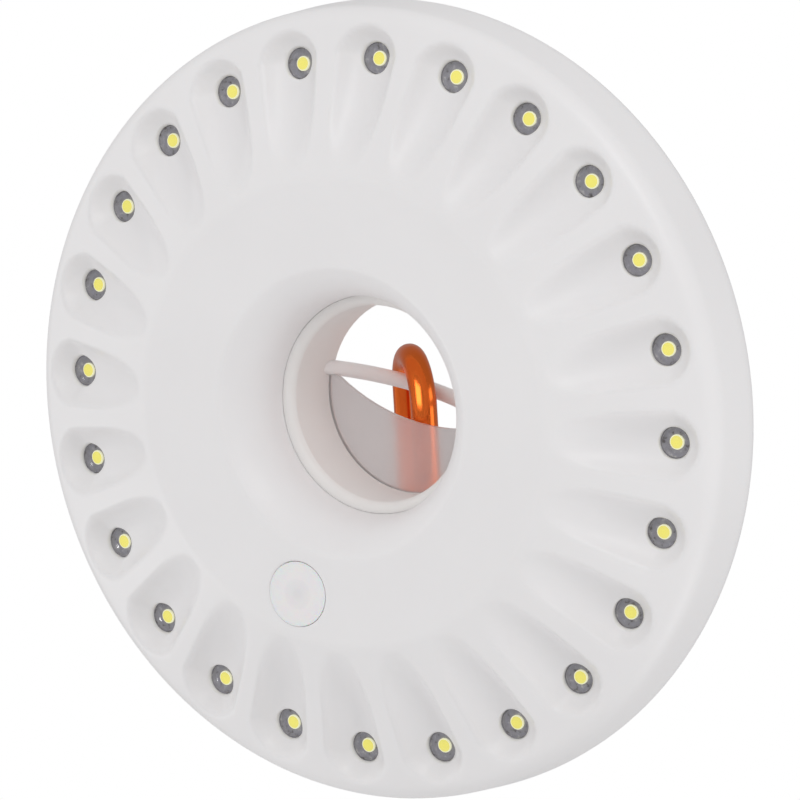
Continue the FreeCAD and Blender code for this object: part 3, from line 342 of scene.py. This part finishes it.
def groove_depth(angle, radius):
    """Depth of a groove's floor, a row of round cuts along a line out from the middle.

    The cut's depth below the slope is a parabola in the distance from the groove's tip, so it
    levels out at the lamp. Its radius grows with the square of the distance. The end is a
    quarter of a ball."""
    sector = FULL_TURN / LAMPS
    off = (angle + sector / 2) % sector - sector / 2
    across, out = np.abs(radius * np.sin(off)), radius * np.cos(off)
    inner = np.clip(out, GROOVE_TIP, GROOVE_END)
    share = (inner - GROOVE_TIP) / (GROOVE_END - GROOVE_TIP)
    floor = plain_depth(inner) + GROOVE_DEPTH * share * (1 - GROOVE_LEVELLING * share)
    size = CUT_RADIUS + CUT_GROWTH * share ** 2
    reach = np.hypot(across, np.maximum(out - GROOVE_END, 0))
    circle = size - np.sqrt(np.maximum(size ** 2 - reach ** 2, 0))
    rise = np.where(reach < size, circle, 2 * reach - size)
    return np.where(out > GROOVE_TIP, floor - rise, NO_GROOVE)


def deeper(first, second, soft):
    """The larger of two depths.

    Where they differ by less than soft, a parabola rounds the crease."""
    near = np.maximum(soft - np.abs(first - second), 0)
    return np.maximum(first, second) + near ** 2 / (4 * soft)


def on_face(angle, radius):
    """Points of the grooved face at given angles and radii."""
    angle, radius = np.broadcast_arrays(angle, radius)
    depth = deeper(plain_depth(radius), groove_depth(angle, radius), GROOVE_SOFT)
    return np.stack([radius * np.cos(angle), depth, radius * np.sin(angle)], axis=-1)


def around(line, angle):
    """A band of revolution: points (radius, depth) of a line at each angle."""
    radius, depth = line[:, :1], line[:, 1:]
    across, up = radius * np.cos(angle), radius * np.sin(angle)
    return np.stack(np.broadcast_arrays(across, depth, up), axis=-1)


# %% [markdown]
# A round hole in a grid of spokes and rings would be ragged. So the cells round
# each hole are left out, and a patch takes their place: its outer points are the
# grid's own, its inner ones lie on the hole, and straight lines join them.


# %% Patches round holes, and seams between grids
def hole_patch(angles, radii, middle, hole, layers):
    """Angles and radii of a patch, in rows from a hole's ring out to a block of cells' border."""
    rows, columns = len(radii) - 1, len(angles) - 1
    border_angle = np.concatenate([
        angles[:-1], np.full(rows, angles[-1]), angles[:0:-1], np.full(rows, angles[0])])
    border_radius = np.concatenate([
        np.full(columns, radii[0]), radii[:-1], np.full(columns, radii[-1]), radii[:0:-1]])
    across = border_radius * np.sin(border_angle - middle[0])
    out = border_radius * np.cos(border_angle - middle[0]) - middle[1]
    bearing = np.arctan2(out, across)
    share = (np.linspace(0, 1, layers + 1) ** LAYER_GROWTH)[:, None]
    patch_across = hole * np.cos(bearing) * (1 - share) + across * share
    patch_out = middle[1] + hole * np.sin(bearing) * (1 - share) + out * share
    return middle[0] + np.arctan2(patch_across, patch_out), np.hypot(patch_across, patch_out)


def hole_wall(rim, centre, axis, hole, floor):
    """Rings from a rim down a hole: a small round lip, then a straight wall to the floor."""
    off = rim - centre
    height = off @ axis
    flat = off - height[:, None] * axis
    flat = flat / np.linalg.norm(flat, axis=1, keepdims=True)
    rings = [rim]
    for grow, drop in HOLE_LIP:
        rings.append(centre + flat * (hole + grow) + (height - drop)[:, None] * axis)
    rings.append(centre + flat * hole + floor * axis[None, :])
    return np.array(rings)


def ratio_seam(coarse_ring, fine_ring):
    """Faces between a ring and one with a whole number of points for each of its own."""
    count = len(coarse_ring)
    ratio = len(fine_ring) // count
    cell = np.arange(count)
    sides = [cell, (cell + 1) % count]
    sides += [count + (cell * ratio + step) % (count * ratio) for step in range(ratio, -1, -1)]
    return np.vstack([coarse_ring, fine_ring]), np.stack(sides, axis=-1)


# %% The bands of the cover
cover = Sheet()
coarse = np.arange(COARSE_STEPS) * FULL_TURN / COARSE_STEPS
fine = np.arange(FINE_STEPS) * FULL_TURN / FINE_STEPS
funnel_line = COVER_OUTLINE[:np.argmax(COVER_OUTLINE[:, 0] >= FUNNEL_STOP)]
cover.add_grid(around(np.vstack([funnel_line, [FUNNEL_STOP, FACE]]), coarse), True)

button_radii = np.linspace(FUNNEL_STOP, BUTTON_STOP, BUTTON_ROWS + 1)
others = np.arange(BUTTON_SPOKES[-1], BUTTON_SPOKES[0] + COARSE_STEPS + 1) % COARSE_STEPS
cover.add_grid(on_face(coarse[others], button_radii[:, None]), False)
cover.add(*ratio_seam(on_face(coarse, BUTTON_STOP), on_face(fine, SLOPE_START)))
slope_radii = np.linspace(SLOPE_START, SLOPE_STOP, SLOPE_ROWS + 1)
solid = np.ones((SLOPE_ROWS, FINE_STEPS), dtype=bool)
lamp_spokes = np.arange(LAMPS)[:, None] * (FINE_STEPS // LAMPS)
left_out = (lamp_spokes + LAMP_COLUMNS[:-1]).ravel() % FINE_STEPS
solid[LAMP_ROWS[0]:LAMP_ROWS[-1], left_out] = False
slope_faces = grid_faces(SLOPE_ROWS + 1, FINE_STEPS, True)[solid.ravel()]
cover.add(on_face(fine, slope_radii[:, None]), slope_faces)
cover.add(*ratio_seam(on_face(coarse, EDGE_START), on_face(fine, SLOPE_STOP)))
edge_line = COVER_OUTLINE[np.argmax(COVER_OUTLINE[:, 0] > EDGE_START):]
edge_line = np.vstack([[EDGE_START, plain_depth(EDGE_START)], edge_line])
cover.add_grid(around(edge_line, coarse), True)
print("bands of the cover:", cover.count, "points")

# %% The button's hole and the lamps' holes
button_turn = BUTTON_ANGLE % FULL_TURN
button_axis = np.array([0.0, -1.0, 0.0])
button_place = np.array([
    BUTTON_RING * math.cos(BUTTON_ANGLE), FACE, BUTTON_RING * math.sin(BUTTON_ANGLE)])
patch = on_face(*hole_patch(
    coarse[BUTTON_SPOKES], button_radii, (button_turn, BUTTON_RING),
    BUTTON_HOLE + BUTTON_MARGIN, BUTTON_LAYERS))
wall = hole_wall(patch[0], button_place, button_axis, BUTTON_HOLE, BUTTON_HOLE_FLOOR)
cover.add_grid(patch, True)
cover.add_grid(wall, True)


def lamp_frames():
    """For each lamp: its angle, its place on the groove's floor, its axis and two ways across."""
    angle = np.arange(LAMPS) * FULL_TURN / LAMPS
    zero = np.zeros(LAMPS)
    outward = np.stack([np.cos(angle), zero, np.sin(angle)], axis=-1)
    sideways = np.stack([-np.sin(angle), zero, np.cos(angle)], axis=-1)
    back = np.array([0.0, 1.0, 0.0])
    axis = outward * math.sin(LAMP_TILT) - back * math.cos(LAMP_TILT)
    slope = outward * math.cos(LAMP_TILT) + back * math.sin(LAMP_TILT)
    return angle, outward * LAMP_RING + back * LAMP_FLOOR, axis, slope, sideways


for angle, place, axis, _, _ in zip(*lamp_frames()):
    angles = angle + LAMP_COLUMNS * FULL_TURN / FINE_STEPS
    patch = on_face(*hole_patch(
        angles, slope_radii[LAMP_ROWS], (angle, LAMP_RING), LAMP_HOLE + LAMP_MARGIN, LAMP_LAYERS))
    cover.add_grid(patch, True)
    cover.add_grid(hole_wall(patch[0], place, axis, LAMP_HOLE, LAMP_HOLE_FLOOR), True)

front_shell = make_piece(
    "front_shell", cover, "lamp", ["front_cover"], [cover_white],
    toward=((28.0, FACE, 0.0), (0.0, -1.0, 0.0)))
thickness = front_shell.modifiers.new("wall", "SOLIDIFY")
thickness.thickness = COVER_WALL * MM
thickness.offset = -1.0

# %% [markdown]
# ## The lamps
# A lamp is clear resin with a yellow disc in it. One looks through the dome into
# the shaded casing, and the grey, blotched look of the resin's body is painted
# shade and painted reflection. Glass that bends light would leave the disc in the
# dark here, so the dome is see-through instead, the body below it carries that
# painted shade, and the disc has a faint painted glow.


# %% Spun lamp pieces
LENS_RADIUS, LENS_RIM, LENS_DOME, LENS_FLOOR = 2.42, -0.06, 0.5, -0.96
LENS_SPOKES, DOME_ROWS = 32, 8
DISC_RADIUS, DISC_FRONT, DISC_BACK = 1.17, -0.56, -0.9


def spun_lamps(profile):
    """Each lamp's solid of revolution, from a profile of points (radius, height) on its axis."""
    _, places, axes, slopes, sideways = lamp_frames()
    turn = np.arange(LENS_SPOKES) * FULL_TURN / LENS_SPOKES
    radius, height = profile[:, 0], profile[:, 1]
    across = np.cos(turn)[:, None] * slopes[:, None] + np.sin(turn)[:, None] * sideways[:, None]
    flat = radius[None, :, None, None] * across[:, None]
    return places[:, None, None] + height[None, :, None, None] * axes[:, None, None] + flat


dome_curve = (LENS_RADIUS ** 2 + LENS_DOME ** 2) / (2 * LENS_DOME)
dome_angle = np.linspace(0, math.asin(LENS_RADIUS / dome_curve), DOME_ROWS + 1)
dome_height = LENS_RIM + LENS_DOME - dome_curve * (1 - np.cos(dome_angle))
dome = np.stack([dome_curve * np.sin(dome_angle), dome_height], axis=-1)
body = np.array([
    (LENS_RADIUS, LENS_RIM), (LENS_RADIUS, -0.5), (LENS_RADIUS, LENS_FLOOR),
    (1.9, LENS_FLOOR), (1.3, LENS_FLOOR), (0.0, LENS_FLOOR)])
lenses, discs = Sheet(), Sheet()
for number, profile in enumerate((dome, body)):
    for grid in spun_lamps(profile):
        lenses.add_grid(grid, True, finish=number)

disc = np.array([
    (0.0, DISC_FRONT), (0.5, DISC_FRONT), (0.98, -0.57), (1.06, -0.58), (1.13, -0.61),
    (DISC_RADIUS, -0.66), (DISC_RADIUS, DISC_BACK), (0.0, DISC_BACK)])
for grid in spun_lamps(disc):
    discs.add_grid(grid, True, value=np.repeat(disc[:, 0], LENS_SPOKES))
print("lamps:", lenses.count, "points of lenses,", discs.count, "of discs")


# %% Finishes of the lamps
def own_reach(finish):
    """The mesh's own value: millimetres from the lamp's axis."""
    return add(finish, "ShaderNodeAttribute", attribute_name="reach").outputs["Fac"]


# The dome's grey base and the body's dark and pale blotches are painted shade and painted
# reflections of the casing, seen through clear resin.
dome_clear, _ = blotched(
    "dome_clear", (0.2, 0.2, 0.24), (0.28, 0.28, 0.33), (0.03, 0.07), bump=0.0, IOR=2.0, Alpha=0.28)
lens_body_painted_shade, lens_body_shader = new_finish("lens_body_painted_shade", IOR=1.5, Roughness=0.25)
mottle = object_noise(lens_body_painted_shade, 1100.0, detail=5.0)
blotches = ramp(
    lens_body_painted_shade, mottle, (0.3, (0.12, 0.1, 0.09)), (0.42, (0.42, 0.41, 0.45)),
    (0.6, (0.48, 0.47, 0.54)), (0.72, (0.8, 0.78, 0.78)))
link(lens_body_painted_shade, blotches, lens_body_shader.inputs["Base Color"])
# The disc's emission is a painted glow: the lamp is off, and the glow stands in for light falling
# on the disc.
phosphor, phosphor_shader = new_finish("phosphor", Roughness=0.55, Emission_Strength=0.7)
tone = ramp(
    phosphor, own_reach(phosphor), (0.0, (0.9, 0.82, 0.12)), (0.98, (0.88, 0.8, 0.14)),
    (1.0, (0.95, 0.94, 0.62)))
for socket in ("Base Color", "Emission Color"):
    link(phosphor, tone, phosphor_shader.inputs[socket])
lift(phosphor, phosphor_shader, object_noise(phosphor, 9000.0), 0.2, GRAIN_HEIGHT)

make_piece("lamp_lenses", lenses, "lamp", ["led_lenses"], [dome_clear, lens_body_painted_shade])
make_piece("lamp_discs", discs, "lamp", ["led_dies"], [phosphor])

# %% [markdown]
# ## Back cover, bar and doors
# The half-moon wall behind the centre hole is thin, and the hook shows through it
# as a blurred orange shape. It is part of the back cover, so that cover's finish
# lets light through inside the sleeve's bore and nowhere else.

# %% Finishes of the back
BORE_INSIDE, BORE_OUTSIDE = 0.0155, 0.01556
MIX_FIRST, MIX_SECOND, MIX_RESULT = 6, 7, 2
back_white, back_shader = white_plastic("back_white", (0.87, 0.845, 0.83), (0.89, 0.865, 0.85))
off_middle = off_axis(back_white)
thin_wall = span(back_white, off_middle, BORE_INSIDE, BORE_OUTSIDE, 1.0, 0.0)
for socket, thin, thick in (
        ("Transmission Weight", 0.72, 0.0), ("IOR", 1.15, 1.49),
        ("Roughness", 0.45, 0.43), ("Subsurface Weight", 0.0, 0.15)):
    level = span(back_white, off_middle, BORE_INSIDE, BORE_OUTSIDE, thin, thick)
    link(back_white, level, back_shader.inputs[socket])
thick_colour = back_shader.inputs["Base Color"].links[0].from_socket
thin_colour = ramp(
    back_white, object_noise(back_white, 60.0),
    (NOISE_LOW, (0.99, 0.92, 0.915)), (NOISE_HIGH, (1.0, 0.94, 0.935)))
pick = add(back_white, "ShaderNodeMix", data_type="RGBA")
link(back_white, thin_wall, pick.inputs["Factor"])
link(back_white, thick_colour, pick.inputs[MIX_FIRST])
link(back_white, thin_colour, pick.inputs[MIX_SECOND])
link(back_white, pick.outputs[MIX_RESULT], back_shader.inputs["Base Color"])
dress(back_white, "back_cover")
bar_white, _ = white_plastic("bar_white", (0.93, 0.89, 0.885), (0.95, 0.91, 0.905))
dress(bar_white, "hanger_bar")
door_white, _ = white_plastic("door_white", (0.87, 0.85, 0.845), (0.89, 0.87, 0.865))
dress(door_white, "battery_door_left", "battery_door_right")

# %% [markdown]
# ## Button and hook
# The button is silicone: greyer in the middle, where its stem shows through. The
# hook is anodised aluminium. Its dye sits over bright metal, so the finish is a
# coloured metal.

# %% Finishes of the button and the hook
HOOK_PIECES = ("hook_body", "hook_gate")
silicone, silicone_shader = new_finish(
    "silicone", IOR=1.41, Subsurface_Weight=0.3, Subsurface_Scale=0.002)
grained(silicone, silicone_shader, (0.42, 0.52))
off_stem = off_axis(silicone, (button_place[0] * MM, button_place[2] * MM))
stem_tone = ramp(
    silicone, span(silicone, off_stem, 0.0, BUTTON_HOLE * MM, 0.0, 1.0),
    (0.1, (0.84, 0.815, 0.83)), (0.22, (0.87, 0.845, 0.86)),
    (0.42, (0.89, 0.86, 0.87)), (0.5, (0.92, 0.885, 0.89)))
link(silicone, stem_tone, silicone_shader.inputs["Base Color"])
dress(silicone, "button_cap")
anodised, _ = blotched(
    "anodised_orange", (0.88, 0.165, 0.027), (0.92, 0.18, 0.03), (0.2, 0.25),
    blotch=120.0, grain=400.0, bump=0.0, Metallic=1.0)
dress(anodised, *HOOK_PIECES)

# %% [markdown]
# ## Inside and small pieces
# These show when a battery door is open. They get the finish of the real thing:
# tinned contacts, paper laminate boards, wrapped cells and coloured wires.

# %% Finishes of the inside
tin, _ = blotched("tinned_metal", (0.5, 0.5, 0.5), (0.62, 0.62, 0.62), (0.3, 0.45), Metallic=1.0)
dress(tin, "led_leads", "contact_plates", "contact_leaf_springs")
steel, _ = blotched("plated_steel", (0.5, 0.5, 0.5), (0.6, 0.6, 0.59), (0.25, 0.4), Metallic=1.0)
dress(steel, "cover_screws", "board_screws", "gate_pin", "gate_spring")
laminate, _ = blotched(
    "board_laminate", (0.36, 0.25, 0.1), (0.42, 0.3, 0.13), (0.45, 0.6), blotch=400.0)
dress(laminate, "led_board", "switch_board")
black, _ = blotched("black_moulded", (0.01, 0.01, 0.011), (0.02, 0.02, 0.022), (0.4, 0.55))
dress(black, "resistors", "switch_body", "switch_plunger")
jacket, _ = blotched("cell_jacket", (0.02, 0.022, 0.03), (0.035, 0.037, 0.045), (0.25, 0.35))
dress(jacket, *(f"battery_cell_{number}" for number in range(1, 5)))
for name, low, high in (
        ("wire_red", (0.42, 0.01, 0.008), (0.5, 0.02, 0.012)),
        ("wire_yellow", (0.62, 0.4, 0.02), (0.7, 0.46, 0.03)),
        ("wire_black", (0.008, 0.008, 0.008), (0.02, 0.02, 0.02)),
        ("wire_link", (0.008, 0.008, 0.008), (0.02, 0.02, 0.02))):
    insulation, _ = blotched(name + "_insulation", low, high, (0.4, 0.5))
    dress(insulation, name)

# %% [markdown]
# ## Studio
# The lamp hangs over a small pale floor that takes its shadow, in a white room
# with even light. Soft lights stand in front, at the right and at the left, and a
# small one makes glints in the lenses. Two more light only the hook, for the long
# glints on its rod, because the white cover would get too bright from them. The
# camera stands nearly a metre away with a long lens, and is turned about the
# lamp's axis by the small angle at which the photographed lamp hung.


# %% Room
ROOM_LIGHT, ROOM_GLOSS = 0.715, 0.4
world = bpy.data.worlds.new("white_room")
world.use_nodes = True
bpy.context.scene.world = world
room_tree = world.node_tree
room = room_tree.nodes["Background"]
room.inputs["Color"].default_value = (1.0, 1.0, 1.0, 1.0)
path = room_tree.nodes.new("ShaderNodeLightPath")
strength = None
for ray, level in (("Is Glossy Ray", ROOM_GLOSS), ("Is Diffuse Ray", ROOM_LIGHT)):
    pick = room_tree.nodes.new("ShaderNodeMix")
    pick.inputs["A"].default_value = 1.0
    pick.inputs["B"].default_value = level
    room_tree.links.new(path.outputs[ray], pick.inputs["Factor"])
    if strength is not None:
        room_tree.links.new(strength, pick.inputs["A"])
    strength = pick.outputs["Result"]
room_tree.links.new(strength, room.inputs["Strength"])
print("room light", ROOM_LIGHT, "and in reflections", ROOM_GLOSS)

# %% Floor
FLOOR_LEVEL, FLOOR_MIDDLE, FLOOR_RADIUS = -0.12, 0.001, 0.16
FLOOR_RINGS, FLOOR_SPOKES = 12, 64
FADE_START, FADE_END = 0.08, 0.155
rings = np.linspace(FLOOR_MIDDLE, FLOOR_RADIUS, FLOOR_RINGS)[:, None]
spokes = np.arange(FLOOR_SPOKES) * FULL_TURN / FLOOR_SPOKES
floor_points = np.stack(
    np.broadcast_arrays(rings * np.cos(spokes), rings * np.sin(spokes), FLOOR_LEVEL), axis=-1)
floor_faces = grid_faces(FLOOR_RINGS, FLOOR_SPOKES, True)
floor_mesh = bpy.data.meshes.new("floor")
floor_mesh.from_pydata(floor_points.reshape(-1, 3).tolist(), [], floor_faces.tolist())
floor = bpy.data.objects.new("floor", floor_mesh)
bpy.context.scene.collection.objects.link(floor)
floor_pale, floor_shader = blotched(
    "floor_pale", (0.86, 0.86, 0.86), (0.88, 0.88, 0.88), (0.8, 0.9), blotch=20.0)
fade = span(floor_pale, off_axis(floor_pale, axis="Z"), FADE_START, FADE_END, 1.0, 0.0)
link(floor_pale, fade, floor_shader.inputs["Alpha"])
floor_mesh.materials.append(floor_pale)
print("floor", FLOOR_RADIUS, "m wide from the middle")


# %% Lights
def area_light(name, place, size, power, only=()):
    """An area light that faces the middle; where CAD nodes are named, it lights only these."""
    light = bpy.data.lights.new(name, "AREA")
    light.shape = "RECTANGLE"
    light.size, light.size_y = size
    light.energy = power
    holder = bpy.data.objects.new(name, light)
    bpy.context.scene.collection.objects.link(holder)
    holder.location = place
    holder.rotation_mode = "QUATERNION"
    holder.rotation_quaternion = (-Vector(place)).to_track_quat("-Z", "Y")
    if only:
        lit = bpy.data.collections.new(name + "_lights")
        for node in only:
            lit.objects.link(nodes[node])
        holder.light_linking.receiver_collection = lit


area_light("soft_front", (0.32, -0.42, 0.48), (0.15, 0.3), 0.82)
area_light("soft_right", (0.36, -0.06, -0.55), (0.2, 0.5), 0.9)
area_light("soft_left", (-0.6, -0.2, -0.05), (0.3, 0.5), 0.26)
area_light("spark_left", (-0.456, -0.228, -0.24), (0.06, 0.06), 0.17)
area_light("hook_front", (-0.05, -0.55, 0.02), (0.45, 0.44), 1.86, only=HOOK_PIECES)
area_light("hook_back", (0.5, 0.15, -0.03), (0.3, 0.4), 0.5, only=HOOK_PIECES)
print("lights:", len(bpy.data.lights))

# %% Camera
AZIMUTH, ELEVATION, HANG = math.radians(32.24), math.radians(9.01), math.radians(1.12)
DISTANCE, FOCAL_LENGTH, SENSOR = 0.947, 272.0, 36.0
AIM_DEPTH, AIM_RIGHT, AIM_UP = -0.013, 0.00456, 0.00089


def hung(vector):
    """A vector turned about the lamp's axis by the angle at which the lamp hung."""
    x, y, z = vector
    cosine, sine = math.cos(HANG), math.sin(HANG)
    return Vector((x * cosine - z * sine, y, x * sine + z * cosine))


level = math.cos(ELEVATION)
toward = Vector((math.sin(AZIMUTH) * level, -math.cos(AZIMUTH) * level, math.sin(ELEVATION)))
right = Vector((math.cos(AZIMUTH), math.sin(AZIMUTH), 0.0))
up = toward.cross(right)
aim = Vector((0.0, AIM_DEPTH, 0.0)) + right * AIM_RIGHT + up * AIM_UP
camera_data = bpy.data.cameras.new("camera")
camera_data.sensor_width = SENSOR
camera_data.lens = FOCAL_LENGTH
camera_data.clip_start, camera_data.clip_end = 0.05, 50.0
camera = bpy.data.objects.new("camera", camera_data)
bpy.context.scene.collection.objects.link(camera)
turned = np.array([hung(right), hung(up), hung(toward)]).T
place = hung(aim + toward * DISTANCE)
camera.matrix_world = Matrix([[*turned[row], place[row]] for row in range(3)] + [[0, 0, 0, 1]])
bpy.context.scene.camera = camera
bpy.context.scene.view_settings.view_transform = "Standard"
print("camera", DISTANCE, "m away, lens", FOCAL_LENGTH, "mm")
